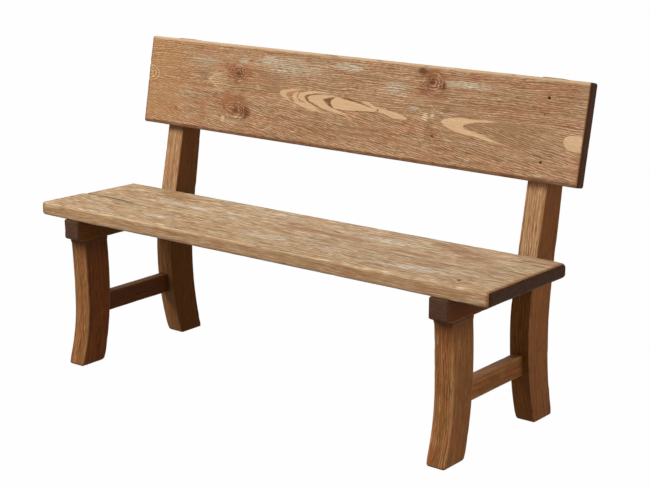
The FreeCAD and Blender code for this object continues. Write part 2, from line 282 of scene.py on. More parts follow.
def timber(node, shape, steps, place, material, seed, knots=(), holes=(), cracks=()):
    """A worn wooden piece: a block, rounded, carved, and put in place of its CAD node."""
    size = np.array(shape.size)
    grid, faces = block_grid(
        stations(size[0], steps[0], fine_at=[hole.along for hole in holes]),
        *(stations(size[n], steps[n], fine=steps[n] * 0.8, reach=5 * MM) for n in (1, 2)),
    )
    points, out = rounded(grid, size, edge_radius(grid, shape, seed))
    depth = wood_depth(points, out, shape, seed, knots, holes, cracks)
    carved = points - out * depth[:, None]
    attributes = {
        "grain": carved / MM,
        "flank": np.abs(out[:, 1]),
        "end_gap": np.minimum(grid[:, 0], size[0] - grid[:, 0]) / MM,
        "edge_gap": edge_gap(grid, size) / MM,
        "joint_gap": joint_gap(grid, shape) / MM,
        "depth": depth / MM,
    }
    make_piece(node + "_wood", place(carved), faces, attributes, material, node)


def add_object(name, data):
    thing = bpy.data.objects.new(name, data)
    bpy.context.scene.collection.objects.link(thing)
    return thing


def make_piece(name, points, faces, attributes, material, node):
    """A mesh in place of a CAD node, with its own directions kept for the material."""
    if signed_volume(points, faces) < 0:
        faces = faces[:, ::-1]
    mesh = bpy.data.meshes.new(name)
    mesh.from_pydata(points, [], faces, shade_flat=False)
    for key, values in attributes.items():
        kind, slot = ("FLOAT_VECTOR", "vector") if values.ndim == 2 else ("FLOAT", "value")
        layer = mesh.attributes.new(key, kind, "POINT")
        layer.data.foreach_set(slot, values.astype(np.float32).ravel())
    mesh.materials.append(material)
    piece = add_object(name, mesh)
    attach(piece, "root")
    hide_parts(node)


def signed_volume(points, faces):
    a, b, c, d = (points[faces[:, n]] for n in range(4))
    return (np.cross(b - a, c - a) * a).sum() + (np.cross(c - a, d - a) * a).sum()


def node_points(node):
    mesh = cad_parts[node].data
    points = np.zeros(len(mesh.vertices) * 3)
    mesh.vertices.foreach_get("co", points)
    return points.reshape(-1, 3)


def surface(node):
    """A CAD node's surface, to be met by rays."""
    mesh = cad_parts[node].data
    corners = [vertex.co for vertex in mesh.vertices]
    return BVHTree.FromPolygons(corners, [polygon.vertices for polygon in mesh.polygons])


def profile(node, x, side, top):
    """A leg's front (side -1) or rear (side 1) edge: its y at each height, as the CAD node has it.
    Past both ends the edge goes on straight."""
    tree = surface(node)
    heights = np.linspace(6 * MM, top, 90)
    inward = Vector((0, -side, 0))
    hits = [tree.ray_cast(Vector((x, side * RAY_START, z)), inward)[0] for z in heights]
    places = np.array([hit.y for hit in hits])
    slopes = np.diff(places) / np.diff(heights)

    def y_at(z):
        under = np.minimum(z - heights[0], 0)
        over = np.maximum(z - heights[-1], 0)
        return np.interp(z, heights, places) + slopes[0] * under + slopes[-1] * over

    return y_at


def middle_of(node):
    low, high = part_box(node)
    return (low + high) / 2


def clear_of_mortises(node):
    return middle_of(node).x - CLEAR_OF_MORTISES


def slant_of(degrees):
    return math.tan(math.radians(degrees))


def turned(points, degrees):
    """Points turned about the X axis: a positive turn leans an upright board back."""
    cos = math.cos(math.radians(degrees))
    sin = math.sin(math.radians(degrees))
    x, y, z = points.T
    return np.stack([x, y * cos + z * sin, z * cos - y * sin], axis=1)


def groups(points, reach):
    """The middles of clusters of points that lie within reach of each cluster's first."""
    found = []
    for point in points:
        for group in found:
            if np.linalg.norm(point - group[0]) < reach:
                group.append(point)
                break
        else:
            found.append([point])
    return [(np.min(group, axis=0) + np.max(group, axis=0)) / 2 for group in found]


def seat_board(node, material, seed, holes=(), cracks=()):
    """One of the two seat planks, whose seam runs slightly askew."""
    low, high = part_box(node)
    front_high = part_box("seat_board_front")[1]
    rear_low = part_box("seat_board_rear")[0]
    is_front = node == "seat_board_front"
    seam = (front_high.y, rear_low.y)
    outer = low.y if is_front else high.y
    width = max(abs(outer - y) for y in seam)
    length = high.x - low.x
    left_slant = slant_of(SEAT_LEFT_SLANT) * width
    right_slant = slant_of(SEAT_RIGHT_SLANT) * width

    def radius(points):
        left_wear = ramp(points[:, 0], 70 * MM, 5 * MM)
        right_wear = ramp(length - points[:, 0], 30 * MM, 5 * MM)
        return SEAT_EDGE * (1 + 0.15 * left_wear + 0.4 * right_wear)

    shape = Shape((length, width, high.z - low.z), radius, seam=width if is_front else 0.0)

    def place(points):
        u, v, w = points.T
        s = u / length
        t = v / width
        seam_y = seam[0] + (seam[1] - seam[0]) * s
        near = outer if is_front else seam_y
        far = seam_y if is_front else outer
        left = low.x + left_slant * t
        right = high.x - right_slant * (1 - t)
        return np.stack([left + (right - left) * s, near + (far - near) * t, low.z + w], axis=1)

    timber(node, shape, SEAT_STEPS, place, material, seed, holes=holes, cracks=cracks)


def back_board(material, seed):
    """The back board, made upright and leaned back."""
    upright = turned(node_points("back_board"), -BACK_RAKE)
    low = upright.min(axis=0)
    high = upright.max(axis=0)
    length, thick, height = high - low
    screws = turned(node_points("back_board_screws"), -BACK_RAKE)
    heads = screws[screws[:, 1] < screws[:, 1].min() + 1 * MM]
    holes = []
    for x, y, z in groups(heads, HEAD_REACH):
        spot = ("left " if x < 0 else "right ") + ("top" if high[2] - z < height / 2 else "bottom")
        depth = BACK_SINK_DEPTHS[spot]
        holes.append(Hole(x - low[0], high[2] - z, BACK_SINK_RADIUS, depth, -1))
    slant = slant_of(BACK_LEFT_SLANT)
    shape = Shape((length, height, thick), BACK_EDGE)

    def place(points):
        u, v, w = points.T
        s = u / length
        depth = v / height * (BACK_HEIGHT_LEFT + (height - BACK_HEIGHT_LEFT) * s)
        x = low[0] + slant * v * (1 - s) + u
        return turned(np.stack([x, low[1] + w, high[2] - depth], axis=1), BACK_RAKE)

    timber("back_board", shape, BACK_STEPS, place, material, seed, BACK_KNOTS, holes, BACK_CRACKS)


def leg(node, material, seed):
    """A front leg up to its rail, or a rear post up to its sloping top."""
    low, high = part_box(node)
    is_post = node.startswith("rear_post")
    height = high.z if is_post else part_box(node.replace("front_leg", "seat_rail"))[0].z
    straight_to = height - (60 * MM if is_post else 8 * MM)
    clear = clear_of_mortises(node)
    front = profile(node, clear, -1, straight_to)
    rear = profile(node, clear, 1, straight_to)
    levels = np.linspace(0, straight_to, 50)
    depth = float(np.max(rear(levels) - front(levels)))
    tops = post_tops(node, front, rear) if is_post else (height, height)

    def radius(points):
        return LEG_EDGE + FOOT_WEAR * ramp(points[:, 0], 26 * MM, 4 * MM)

    shape = Shape((height, high.x - low.x, depth), radius, tight=(False, not is_post), wear=0.8)

    def place(points):
        u, v, w = points.T
        t = w / depth
        z = u / height * (tops[0] + (tops[1] - tops[0]) * t)
        return np.stack([low.x + v, front(z) + (rear(z) - front(z)) * t, z], axis=1)

    timber(node, shape, LEG_STEPS, place, material, seed)


def post_tops(node, front, rear):
    """The heights at which a post's sloping top meets its front and rear edges."""
    tree = surface(node)
    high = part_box(node)[1].z
    spots = []
    for share in (0.35, 0.65):
        y = float(front(high) + (rear(high) - front(high)) * share)
        spots.append(tree.ray_cast(Vector((middle_of(node).x, y, RAY_START)), Vector((0, 0, -1)))[0])
    slope = (spots[1].z - spots[0].z) / (spots[1].y - spots[0].y)
    tops = []
    for edge in (front, rear):
        z = high
        for _ in range(8):
            z = float(spots[0].z + slope * (edge(z) - spots[0].y))
        tops.append(z)
    return tops


def rail(side, material, seed):
    """A seat rail, from its front end to its shoulder on the post. Its screws sit in deep holes."""
    node = "seat_rail_" + side
    leg_node = "front_leg_" + side
    post_node = "rear_post_" + side
    low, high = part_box(node)
    shoulder = profile(post_node, clear_of_mortises(post_node), -1, high.z + 20 * MM)
    length = float(shoulder(high.z)) - low.y
    screws = node_points("seat_screws")
    screws = screws[(screws[:, 0] > low.x) & (screws[:, 0] < high.x)]
    head_z = screws[:, 2].min()
    heads = screws[screws[:, 2] < head_z + 1 * MM]
    holes = [
        Hole(y - low.y, x - low.x, RAIL_HOLE_RADIUS, head_z + HEAD_SIGHT - low.z, -1)
        for x, y, z in groups(heads, HEAD_REACH)
    ]
    height = high.z - low.z
    leg_front = profile(leg_node, clear_of_mortises(leg_node), -1, low.z - 8 * MM)
    nose = float(leg_front(low.z)) - low.y

    def radius(points):
        return RAIL_EDGE + (RAIL_NOSE_EDGE - RAIL_EDGE) * ramp(points[:, 0], 22 * MM, 8 * MM)

    shape = Shape((length, high.x - low.x, height), radius, tight=(False, True), wear=0.5)

    def place(points):
        u, v, w = points.T
        rise = RAIL_NOSE_RISE * np.clip(1 - u / nose, 0, 1) * (1 - w / height)
        reach = shoulder(low.z + w) - low.y
        return np.stack([low.x + v, low.y + u / length * reach, low.z + w + rise], axis=1)

    timber(node, shape, BAR_STEPS, place, material, seed, holes=holes)


def stretcher(side, material, seed):
    """A stretcher, from the rear of its leg to the front of its post."""
    node = "stretcher_" + side
    leg_node = "front_leg_" + side
    low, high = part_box(node)
    clear = clear_of_mortises(leg_node)
    near = profile(leg_node, clear, 1, high.z + 60 * MM)
    far = profile("rear_post_" + side, clear, -1, high.z + 60 * MM)
    middle = middle_of(node).z
    length = float(far(middle) - near(middle))
    size = (length, high.x - low.x, high.z - low.z)
    shape = Shape(size, STRETCHER_EDGE, tight=(True, True), wear=0.5)

    def place(points):
        u, v, w = points.T
        z = low.z + w
        return np.stack([low.x + v, near(z) + (far(z) - near(z)) * u / length, z], axis=1)

    timber(node, shape, BAR_STEPS, place, material, seed)


def dress(node, material):
    """A CAD node keeps its shape and takes a better material."""
    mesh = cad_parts[node].data
    mesh.materials.clear()
    mesh.materials.append(material)


# Recipes for materials


def operator(operation, swapped=False):
    """One sign of the sums: it adds a maths node. swapped is for a plain number on the left."""

    def result(*values):
        recipe = values[0].recipe
        return recipe.maths(operation, *(reversed(values) if swapped else values))

    return result


class Value:
    """A number or colour inside a material, so that a recipe reads as plain sums."""

    def __init__(self, recipe, socket):
        self.recipe = recipe
        self.socket = socket

    __add__ = operator("ADD")
    __radd__ = operator("ADD", swapped=True)
    __sub__ = operator("SUBTRACT")
    __rsub__ = operator("SUBTRACT", swapped=True)
    __mul__ = operator("MULTIPLY")
    __truediv__ = operator("DIVIDE")
    __abs__ = operator("ABSOLUTE")


class Recipe:
    """A material, or the world, and the calls that build it up."""

    def __init__(self, name, library=bpy.data.materials):
        self.owner = library.new(name)
        self.owner.use_nodes = True
        self.nodes = self.owner.node_tree.nodes
        self.links = self.owner.node_tree.links
        self.shader = self.nodes.get("Principled BSDF")

    def put(self, socket, value):
        if isinstance(value, Value):
            self.links.new(value.socket, socket)
        else:
            socket.default_value = value

    def node(self, kind, *values, output=0, **settings):
        """A new node, with its first inputs and its settings. Gives one of its outputs."""
        node = self.nodes.new("ShaderNode" + kind)
        for name, setting in settings.items():
            setattr(node, name, setting)
        for socket, value in zip(node.inputs, values):
            self.put(socket, value)
        return Value(self, node.outputs[output])

    def maths(self, operation, *values):
        return self.node("Math", *values, operation=operation)

    def attribute(self, name, output="Fac"):
        return self.node("Attribute", output=output, attribute_name=name)

    def split(self, vector):
        node = self.nodes.new("ShaderNodeSeparateXYZ")
        self.put(node.inputs[0], vector)
        return [Value(self, output) for output in node.outputs]

    def join(self, x, y, z):
        return self.node("CombineXYZ", x, y, z)

    def object_place(self):
        """The place on a piece that keeps its CAD shape, in metres."""
        return self.node("TexCoord", output="Object")

    def seen_directly(self):
        """1 for what the camera, glass and gloss see directly, and 0 for the light that it sends out."""
        path = self.nodes.new("ShaderNodeLightPath").outputs
        seen = Value(self, path["Is Camera Ray"])
        for name in ("Is Glossy Ray", "Is Transmission Ray"):
            seen = self.maths("MAXIMUM", seen, Value(self, path[name]))
        return seen

    def noise(self, vector, size, detail=2, seed=0):
        """Noise around 0.5, whose patches have the given size along each axis."""
        scales = [1 / length for length in size]
        shift = (seed, seed * 1.7, seed * 2.3)
        place = self.node("VectorMath", vector, scales, shift, operation="MULTIPLY_ADD")
        fourth_axis, scale = 0.0, 1.0
        return self.node("TexNoise", place, fourth_axis, scale, detail)

    def smooth(self, value, low, high):
        """A smooth step from 0 at low to 1 at high."""
        return self.node("MapRange", value, low, high, interpolation_type="SMOOTHSTEP")

    def near(self, value, middle, half):
        """1 at the middle, and 0 from half away on."""
        return self.smooth(abs(value - middle), half, 0.0)

    def curve(self, value, points):
        """A smooth curve through the given points, level beyond the first and the last."""
        across, up = zip(*points)
        width = across[-1] - across[0]
        height = max(max(up) - min(up), 0.001)
        node = self.nodes.new("ShaderNodeFloatCurve")
        line = node.mapping.curves[0]
        for count, (x, y) in enumerate(points):
            spot = ((x - across[0]) / width, (y - min(up)) / height)
            if count < 2:
                line.points[count].location = spot
            else:
                line.points.new(*spot)
        for point in line.points:
            point.handle_type = "AUTO_CLAMPED"
        node.mapping.update()
        self.put(node.inputs["Value"], self.maths("MINIMUM", (value - across[0]) / width, 1.0))
        return Value(self, node.outputs[0]) * height + min(up)

    def mix(self, first, second, amount, blend="MIX"):
        node = self.nodes.new("ShaderNodeMix")
        node.data_type = "RGBA"
        node.blend_type = blend
        self.put(node.inputs["Factor"], amount)
        colours = [socket for socket in (*node.inputs, *node.outputs) if socket.type == "RGBA"]
        self.put(colours[0], first)
        self.put(colours[1], second)
        return Value(self, colours[2])

    def bump(self, height, distance, strength):
        node = self.nodes.new("ShaderNodeBump")
        node.inputs["Strength"].default_value = strength
        node.inputs["Distance"].default_value = distance
        self.put(node.inputs["Height"], height)
        self.put(self.shader.inputs["Normal"], Value(self, node.outputs[0]))

    def cover(self, colour, roughness):
        self.put(self.shader.inputs["Base Color"], colour)
        self.put(self.shader.inputs["Roughness"], roughness)


def rgb(red, green, blue):
    """A colour from its 0 to 255 values, as the shader wants it."""
    parts = [value / 255 for value in (red, green, blue)]
    return [p / 12.92 if p <= 0.04045 else ((p + 0.055) / 1.055) ** 2.4 for p in parts] + [1.0]


# Wood

WOOD_SPECULAR = 0.15
GRAIN_BUMP = 1.2 * MM
Tones = namedtuple("Tones", "plain warm cool pale dark")
Ends = namedtuple("Ends", "dark light rim")


class Wood(Recipe):
    """Worn and brushed wood. Its colour is painted on layer by layer."""

    def __init__(self, name, tones, seed, knots=()):
        super().__init__(name)
        self.tones = tones
        self.seed = seed
        self.place = self.attribute("grain", "Vector")
        self.along, self.across, self.through = self.split(self.place)
        sway = self.noise(self.place, (420, 110, 110), seed=seed)
        kept = self.across + (sway - 0.5) * 24
        for knot in knots:
            near = self.smooth(self.reach(knot), 3.6, 0.0)
            kept = kept - near * (self.across - knot.across) * 0.6
        wiggle = self.noise(self.place, (38, 12, 12), seed=seed + 1)
        self.kept = kept + (wiggle - 0.5) * 3.5
        self.fibre = self.join(self.along, self.kept, self.through)
        self.ragged = self.noise(self.fibre, (24, 5, 5), detail=5, seed=seed + 2) - 0.5
        self.colour = tones.plain
        self.smoothed = 0.0
        self.rise = 1.0

    def paint(self, tone, amount, blend="MIX"):
        self.colour = self.mix(self.colour, tone, amount, blend)

    def reach(self, knot):
        """Distance from a knot's middle, in knot radii."""
        x = (self.along - knot.along) / (1.2 * knot.radius)
        y = (self.across - knot.across) / knot.radius
        return self.maths("SQRT", x * x + y * y)

    def grain(self):
        """Broad changes of hue, long growth lines, and streaks."""
        hue = self.noise(self.fibre, (90, 26, 26), detail=3, seed=self.seed + 3)
        self.paint(self.tones.warm, self.smooth(hue, 0.5, 0.68) * 0.8)
        self.paint(self.tones.cool, self.smooth(hue, 0.5, 0.34) * 0.8)
        lines = self.noise(self.fibre, (330, 5.2, 5.2), detail=1, seed=self.seed + 4)
        self.paint(self.tones.dark, self.smooth(lines, 0.46, 0.32) * 0.34)
        self.paint(self.tones.pale, self.smooth(lines, 0.55, 0.70) * 0.22)
        streaks = self.noise(self.fibre, (42, 9, 9), detail=2, seed=self.seed + 12)
        self.paint(self.tones.dark, self.smooth(streaks, 0.46, 0.28) * 0.4)
        self.paint(self.tones.pale, self.smooth(streaks, 0.56, 0.74) * 0.3)

    def patches(self, tone, places, ragged=2.4):
        """Soft patches with ragged rims. Each has its middle, its half length and half width along
        and across the grain, and its strength."""
        for along, across, half_length, half_width, amount in places:
            x = (self.along - along) / half_length
            y = (self.across - across) / half_width
            reach = self.maths("SQRT", x * x + y * y) + self.ragged * ragged
            self.paint(tone, self.smooth(reach, 1.15, 0.35) * amount)

    def knots(self, knots, rim, heart):
        """Each knot's dark heart, and the broken rings round it, which show most on its right."""
        for knot in knots:
            reach = self.reach(knot) + self.ragged * 1.5
            side = self.smooth(self.ragged + (self.along - knot.along) / (5 * knot.radius), -0.25, 0.1)
            self.paint(heart, self.smooth(reach, 1.5, 0.2) * 0.85)
            for ring in (0.85, 1.45, 2.1):
                self.paint(rim, self.near(reach, ring, 0.17) * (side * 0.3 + 0.25))
            self.paint(heart, self.near(reach, 1.78, 0.2) * 0.4)

    def fine_lines(self, across, pitch, length, seed):
        """Lines along the grain, around 0.5: uneven in their pitch and broken along their length."""
        place = self.join(self.along, across, self.through * self.rise)
        drift = self.noise(place, (110, 24, 24), detail=2, seed=seed)
        breaks = self.noise(place, (length, pitch * 0.45, pitch * 0.45), detail=1, seed=seed + 3)
        turns = (across + self.through * (0.9 * self.rise)) * (2 * math.pi / pitch)
        return self.maths("SINE", turns + drift * 18) * 0.15 + (breaks * 0.75 + 0.125)

    def brushed(self, pale, dark, pitch, length, tilted=None):
        """Fine broken lines, where brushing has cut out the soft wood."""
        dash = self.fine_lines(self.kept, pitch, length, self.seed + 5)
        if tilted is not None:
            slope, where = tilted
            leaning = self.fine_lines(self.kept - self.along * slope, pitch, length, self.seed + 6)
            dash = dash + (leaning - dash) * where
        strength = self.noise(self.fibre, (80, 30, 30), detail=2, seed=self.seed + 7)
        strength = self.smooth(strength, 0.3, 0.6) * 0.5 + 0.5
        strength = strength * (1 - self.smoothed)
        self.dash = dash
        self.paint(LINE_PALE, self.smooth(dash, 0.53, 0.66) * strength * pale, "MULTIPLY")
        self.paint(LINE_DARK, self.smooth(dash, 0.52, 0.34) * strength * dark, "MULTIPLY")

    def worn_edges(self, amount):
        """Rubbed edges are paler, hollows are darker, and deep holes are nearly black."""
        gap = self.attribute("edge_gap") + self.ragged * 14
        self.paint(self.tones.pale, self.smooth(gap, 7, 2) * amount)
        depth = self.attribute("depth")
        self.paint(self.tones.dark, self.smooth(depth, 0.9, 2.2) * 0.75)
        self.paint(DEEP_HOLLOW_BLACK, self.smooth(depth, 1.8, 2.4))

    def joints(self, tone, reach, amount):
        gap = self.attribute("joint_gap") + self.ragged * reach * 0.6
        self.paint(tone, self.smooth(gap, reach, 0) * amount)

    def ends(self, ends, rim=(11.0, 6.0), start=(4.5, 3.0)):
        """The sawn ends, with a worn rim round them."""
        gap = self.attribute("end_gap")
        if ends.rim:
            self.paint(ends.rim, self.smooth(gap + self.ragged * 6, rim[0], rim[1]) * 0.8)
        saw = self.noise(self.place, (4, 22, 3.2), detail=3, seed=self.seed + 8)
        raw = self.mix(ends.dark, ends.light, self.smooth(saw, 0.38, 0.68))
        self.paint(raw, self.smooth(gap, start[0], start[1]))

    def finish(self):
        self.cover(self.colour, 0.56 + self.dash * 0.26)
        self.shader.inputs["Specular IOR Level"].default_value = WOOD_SPECULAR
        self.bump(self.dash + self.ragged * 0.5, GRAIN_BUMP, 0.8)
        return self.owner


SEAT_TONES = Tones(
    rgb(193, 160, 121), rgb(197, 154, 112), rgb(185, 158, 115), rgb(226, 204, 170), rgb(128, 88, 54)
)
BACK_TONES = Tones(
    rgb(170, 130, 94), rgb(174, 124, 88), rgb(164, 127, 93), rgb(218, 184, 146), rgb(110, 70, 40)
)
POST_TONES = Tones(
    rgb(176, 132, 92), rgb(178, 126, 86), rgb(166, 126, 82), rgb(216, 180, 138), rgb(106, 64, 32)
)
LEG_TONES = Tones(
    rgb(144, 92, 48), rgb(150, 88, 46), rgb(134, 88, 42), rgb(200, 154, 104), rgb(80, 42, 14)
)
FRAME_TONES = Tones(
    rgb(118, 74, 28), rgb(120, 70, 26), rgb(108, 70, 26), rgb(160, 114, 60), rgb(70, 38, 8)
)
LINE_PALE = (1.42, 1.62, 1.85, 1)
LINE_DARK = (0.66, 0.58, 0.52, 1)
# Painted shade and light, multiplied onto each piece's flanks (the faces across X): most tones darken
# them as painted shade, and those for the right leg and bar lighten them as painted light.
FLANK_SHADING = {
    "leg left": rgb(232, 196, 142),
    "leg right": (1.05, 1.0, 0.95, 1),
    "post left": rgb(192, 156, 112),
    "post right": rgb(199, 162, 117),
    "rail left": rgb(246, 218, 150),
    "rail right": rgb(198, 156, 64),
    "bar left": rgb(212, 172, 104),
    "bar right": (1.1, 1.05, 1.05, 1),
}
# Painted shade and light on a post below the seat, multiplied in: the first tone darkens its front and
# rear as painted shade, the second darkens the left post's flanks as painted shade and lightens the
# right post's as painted light.
POST_UNDER_SEAT_SHADING = {
    "left": (rgb(214, 192, 156), rgb(228, 214, 92)),
    "right": (rgb(164, 130, 70), (1.27, 1.32, 1.55, 1)),
}
BOARD_ENDS = Ends(rgb(45, 22, 3), rgb(66, 36, 9), rgb(142, 88, 50))
BLOCK_ENDS = Ends(rgb(72, 45, 30), rgb(90, 60, 42), None)
FOOT_ENDS = Ends(rgb(80, 48, 24), rgb(108, 70, 38), None)
BACK_ENDS = Ends(rgb(60, 33, 14), rgb(80, 46, 22), rgb(132, 82, 48))
POST_ENDS = Ends(rgb(150, 112, 78), rgb(188, 148, 110), None)
SEAM_DARK = rgb(74, 48, 28)
DEEP_HOLLOW_BLACK = rgb(34, 20, 12)
GREY = rgb(190, 172, 144)
CHALK = rgb(214, 198, 176)
FLAME = rgb(216, 178, 136)
FLAME_LINE = rgb(118, 80, 46)
RUST = rgb(140, 88, 54)
RED_RUST = rgb(158, 104, 68)
DARK_RUST = rgb(112, 66, 36)


# Back board. Places are in millimetres from its left end and down from its crest.

BACK_KNOTS = [Knot(352, 82, 11), Knot(354, 192, 13), Knot(1020, 46, 12), Knot(1039, 184, 7)]
BACK_CRACKS = [Crack(1372, 1392, 210.5, 0.35, 1.0)]
BACK_GREY = [
    (460, 37, 50, 14, 0.8), (368, 48, 24, 10, 0.7), (560, 50, 130, 26, 0.45),
    (745, 30, 60, 14, 0.8), (905, 72, 44, 22, 0.55), (1120, 42, 84, 11, 0.85),
    (225, 55, 60, 16, 0.4), (160, 160, 50, 18, 0.35), (972, 120, 20, 7, 0.7),
    (350, 226, 26, 10, 0.45),
]
BACK_CREAM = [
    (311, 221, 9, 11, 0.9), (270, 91, 28, 6, 0.45), (247, 110, 8, 7, 0.6),
    (431, 116, 12, 9, 0.45), (1010, 137, 13, 12, 0.9), (1031, 132, 10, 6, 0.7),
]
BACK_RUST = [
    (356, 84, 62, 32, 0.95), (348, 174, 64, 44, 0.85), (1020, 24, 42, 20, 0.9),
    (1020, 54, 44, 34, 0.85), (996, 70, 20, 13, 0.75), (1060, 80, 26, 12, 0.45),
    (1039, 184, 30, 20, 0.7), (1250, 88, 170, 16, 0.4), (1410, 40, 60, 40, 0.35),
    (640, 215, 160, 24, 0.3), (470, 90, 60, 20, 0.35), (1150, 22, 22, 12, 0.45),
    (880, 18, 16, 9, 0.5), (196, 20, 18, 12, 0.35), (700, 45, 50, 8, 0.35),
    (1290, 30, 60, 14, 0.3),
]
BACK_RED_RUST = [
    (326, 168, 26, 34, 0.9), (385, 80, 17, 16, 0.9), (228, 196, 15, 54, 0.55),
    (700, 128, 20, 7, 0.3),
]
BACK_DARK_RUST = [
    (360, 82, 24, 17, 0.8), (391, 193, 24, 23, 1.0), (984, 18, 20, 13, 1.0),
    (1020, 44, 26, 18, 0.7), (1053, 51, 13, 15, 1.0),
]
BACK_MARKS = [
    ((1365, 92, 2.6, 2.2, 0.9), rgb(56, 36, 26)),
    ((855, 136, 4.2, 3.4, 0.9), rgb(84, 56, 36)),
    ((188, 168, 26, 7, 0.35), rgb(120, 82, 54)),
    ((60, 198, 20, 6, 0.3), rgb(120, 82, 54)),
]

# Each band of the flame: its upper edge, its lower edge, where it fades, its colour and strength
BACK_BANDS = [
    ([(243, 110), (256, 97), (297, 84), (340, 74)], [(243, 110), (261, 122), (291, 139), (330, 148)],
     (262, 330), FLAME, 0.5),
    ([(253, 110), (266, 100), (300, 89), (340, 78)], [(253, 110), (270, 120), (298, 134), (330, 143)],
     (262, 330), BACK_TONES.plain, 0.6),
    ([(513, 124), (520, 115), (561, 107), (597, 103), (660, 100)],
     [(513, 124), (526, 133), (556, 143), (600, 152), (660, 160)], (560, 610), FLAME, 0.8),
    ([(535, 124), (542, 118), (561, 114), (597, 108), (660, 104)],
     [(535, 124), (545, 133), (558, 142), (600, 151), (660, 160)], (580, 640), BACK_TONES.warm, 0.95),
    ([(560, 126), (565, 118), (583, 113), (620, 108), (690, 103)],
     [(560, 126), (570, 141), (586, 150), (642, 161), (704, 168)], (640, 710), FLAME, 0.85),
    ([(576, 126), (578, 119), (586, 112), (604, 109), (640, 108)],
     [(576, 126), (578, 131), (585, 137), (604, 142), (640, 146)], (590, 620), FLAME_LINE, 0.8),
    ([(579, 126), (581, 119), (588, 114), (610, 111), (660, 106)],
     [(579, 126), (581, 130), (588, 135), (606, 139), (640, 150)], (640, 700), FLAME, 0.9),
    ([(603, 125), (608, 120), (622, 116), (640, 112), (660, 110)],
     [(603, 125), (612, 135), (640, 147), (686, 160), (740, 165)], (640, 740), FLAME_LINE, 0.85),
    ([(615, 125), (622, 121), (650, 115), (686, 112), (722, 111), (760, 112)],
     [(615, 125), (622, 134), (650, 144), (690, 155), (740, 161), (799, 185)], (720, 800), FLAME, 0.9),
    ([(668, 126), (690, 120), (704, 116), (722, 110), (760, 113), (800, 118)],
     [(668, 126), (680, 136), (700, 146), (720, 150), (740, 154), (799, 180)],
     (760, 840), BACK_TONES.warm, 0.9),
    ([(668, 125), (680, 122), (697, 118), (712, 117), (740, 114), (794, 121), (856, 134)],
     [(668, 127), (682, 132), (690, 139), (704, 146), (740, 149.5), (811, 146), (856, 143)],
     (840, 860), FLAME_LINE, 0.9),
    ([(695, 130), (704, 121), (722, 114), (740, 117), (794, 124), (820, 129), (852, 136)],
     [(695, 130), (704, 141), (718, 147), (740, 147.5), (811, 143.5), (852, 141)],
     (846, 854), FLAME, 0.95),
    ([(800, 119), (811, 117), (847, 126), (883, 132), (919, 136), (945, 143), (956, 149)],
     [(800, 119), (826, 128), (854, 139), (883, 145), (919, 151.6), (945, 152), (956, 149)],
     (955, 957), FLAME, 0.9),
    ([(1061, 143), (1074, 135), (1101, 129), (1136, 126.4), (1172, 126.5), (1210, 125), (1260, 124)],
     [(1061, 143), (1074, 151), (1101, 162), (1136, 167.5), (1172, 171), (1210, 176.4), (1290, 188)],
     (1200, 1290), FLAME, 0.95),
    ([(1131, 148), (1136, 143), (1145, 140), (1172, 133.6), (1210, 129), (1260, 124)],
     [(1131, 148), (1136, 153), (1145, 155), (1172, 160), (1210, 168), (1290, 186)],
     (1300, 1420), rgb(158, 120, 84), 0.95),
    ([(1428, 152), (1434, 141), (1446, 136), (1480, 134), (1500, 134)],
     [(1428, 152), (1434, 164), (1446, 171), (1480, 174), (1500, 174)], (1500, 1520), FLAME, 0.9),
]

# Thin light lines: points of the line, its half width, and its strength
BACK_LINES = [
    ([(1017, 96), (1033, 112), (1047, 119), (1074, 123), (1119, 119)], 1.8, 0.7),
    ([(976, 155), (990, 163), (1008, 178), (1020, 190)], 1.8, 0.5),
    ([(1036, 162), (1050, 161), (1062, 168), (1074, 178)], 1.8, 0.55),
    ([(1250, 178), (1330, 200), (1400, 215)], 1.6, 0.35),
    ([(1360, 155), (1420, 170), (1480, 190)], 1.8, 0.55),
    ([(1380, 165), (1430, 182), (1480, 204)], 1.5, 0.4),
    ([(1370, 137), (1430, 133), (1485, 131)], 1.6, 0.5),
    ([(900, 109), (960, 107), (1010, 103)], 1.4, 0.4),
    ([(890, 102), (950, 101), (1010, 95)], 1.4, 0.4),
    ([(630, 107), (700, 104), (760, 101)], 1.3, 0.35),
]


def back_flames(wood):
    """Nested pale bands between an upper and a lower edge, slantwise through the board."""
    along = wood.along + wood.through * 3
    across = wood.across + wood.ragged * 5 - wood.through * 0.7
    covered = 0.0
    for upper, lower, fade, tone, amount in BACK_BANDS:
        above = wood.smooth(across - wood.curve(along, upper), -1.4, 1.4)
        below = wood.smooth(wood.curve(along, lower) - across, -1.4, 1.4)
        start = upper[0][0]
        inside = above * below * wood.smooth(along, start - 1, start + 1)
        inside = inside * wood.smooth(along, fade[1], fade[0]) * amount
        wood.paint(tone, inside)
        if tone is FLAME:
            covered = wood.maths("MAXIMUM", covered, inside)
        else:
            covered = covered * (1 - inside)
    wood.smoothed = covered * 0.8


def edge_knot(wood):
    """Pale arcs round a knot that the board's left end has cut through."""
    x = wood.along - 4
    y = wood.across - 112
    reach = wood.maths("SQRT", x * x + y * y * 2.6) + wood.ragged * 9
    for radius in (13, 25, 38):
        wood.paint(rgb(212, 170, 120), wood.near(reach, radius, 4.5) * 0.7)
        wood.paint(rgb(136, 90, 54), wood.near(reach, radius + 6, 2.6) * 0.5)


def light_lines(wood):
    for points, half, amount in BACK_LINES:
        line = wood.near(wood.across + wood.ragged * 3, wood.curve(wood.along, points), half)
        start = wood.smooth(wood.along, points[0][0] - 3, points[0][0] + 6)
        end = wood.smooth(wood.along, points[-1][0] + 3, points[-1][0] - 12)
        wood.paint(wood.tones.pale, line * start * end * amount)


